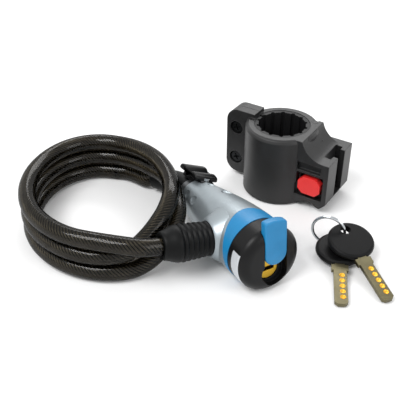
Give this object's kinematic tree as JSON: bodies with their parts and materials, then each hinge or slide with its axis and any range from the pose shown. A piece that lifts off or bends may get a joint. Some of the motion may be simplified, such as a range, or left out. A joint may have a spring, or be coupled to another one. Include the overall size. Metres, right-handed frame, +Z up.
{
  "type": "coiled cable lock",
  "caption": "Coiled cable bicycle lock with a keyed head and sliding dust cover, a quick-release tube bracket and keys on a split ring.",
  "frame": {"origin": "foot of the bracket's tube axis, on the floor plane", "axes": "+Z up along the bracket's tube axis, +X to the right of the set, +Y to its back"},
  "size_m": [0.2049, 0.1391, 0.0491],
  "materials": {
    "silver_shell": "satin silver moulding",
    "die_cast": "cast",
    "blue_trim": "satin",
    "black_cap": "fine grain",
    "pale_plate": "blank",
    "nickel_barrel": "turned",
    "brass": "turned",
    "steel_small": "bright",
    "black_rubber": "satin",
    "clear_cable": "clear sheath over twisted steel strands",
    "bracket_black": "moulded",
    "liner_rubber": "soft",
    "dark_steel": "blackened",
    "button_red": "satin",
    "key_nickel": "nickel silver",
    "ring_steel": "polished",
    "key_black": "satin"
  },
  "bodies": {
    "lock_head": {"head_shell": "silver_shell", "lock_core": "die_cast", "trim_ring": "blue_trim", "front_cap": "black_cap", "name_plate": "pale_plate", "barrel": "nickel_barrel", "barrel_pin": "steel_small", "driver_pins": "steel_small", "pin_springs": "steel_small", "mount_shoe": "black_cap", "shoe_screw": "steel_small", "front_boot": "black_rubber", "front_ferrule": "die_cast", "ferrule_pin": "steel_small", "cable_coil": "clear_cable", "cable_tail": "clear_cable"},
    "plug": {"key_plug": "brass", "plug_pins": "brass", "locking_cam": "steel_small"},
    "cover": {"dust_cover": "blue_trim"},
    "free_end": {"rear_sleeve": "black_rubber", "bolt_ferrule": "die_cast", "locking_bolt": "steel_small"},
    "bracket": {"bracket_body": "bracket_black", "bracket_strap": "bracket_black", "bracket_liner": "liner_rubber", "clamp_screws": "dark_steel", "clamp_nuts": "steel_small", "button_spring": "steel_small"},
    "button": {"release_button": "button_red"},
    "key_ring": {"split_ring": "ring_steel"},
    "key_1": {"key_1_blade": "key_nickel", "key_1_grip": "key_black"},
    "key_2": {"key_2_blade": "key_nickel", "key_2_grip": "key_black"}
  },
  "joints": [
    {"name": "plug_turn", "type": "hinge", "parent": "lock_head", "child": "plug", "pos_m": [-0.0174, -0.08815, 0.0111], "axis": [-0.4981, 0.8627, -0.0872], "range_deg": [0, 90]},
    {"name": "cover_slide", "type": "slide", "parent": "lock_head", "child": "cover", "axis": [0.0436, -0.0755, -0.9962], "range_m": [0, 0.013]},
    {"name": "free_slide", "type": "slide", "parent": "lock_head", "child": "free_end", "axis": [-0.4981, 0.8627, -0.0872], "range_m": [0, 0.0145], "deforming": ["cable_tail"]},
    {"name": "bracket_lift", "type": "slide", "parent": "lock_head", "child": "bracket", "axis": [0, 0, 1], "range_m": [0, 0.06]},
    {"name": "button_press", "type": "slide", "parent": "bracket", "child": "button", "axis": [0.5446, 0.8387, 0], "range_m": [0, 0.003], "stiffness_N_per_m": 600, "deforming": ["button_spring"]},
    {"name": "ring_lift", "type": "slide", "parent": "lock_head", "child": "key_ring", "axis": [0, 0, 1], "range_m": [0, 0.05]},
    {"name": "key_1_turn", "type": "hinge", "parent": "key_ring", "child": "key_1", "pos_m": [0.0289, -0.06318, 0.00472], "axis": [-0.0067, -0.0589, 0.9982], "range_deg": [-6, 6]},
    {"name": "key_2_turn", "type": "hinge", "parent": "key_ring", "child": "key_2", "pos_m": [0.03171, -0.06332, 0.01124], "axis": [0.0653, -0.1793, 0.9816], "range_deg": [-6, 6]}
  ]
}
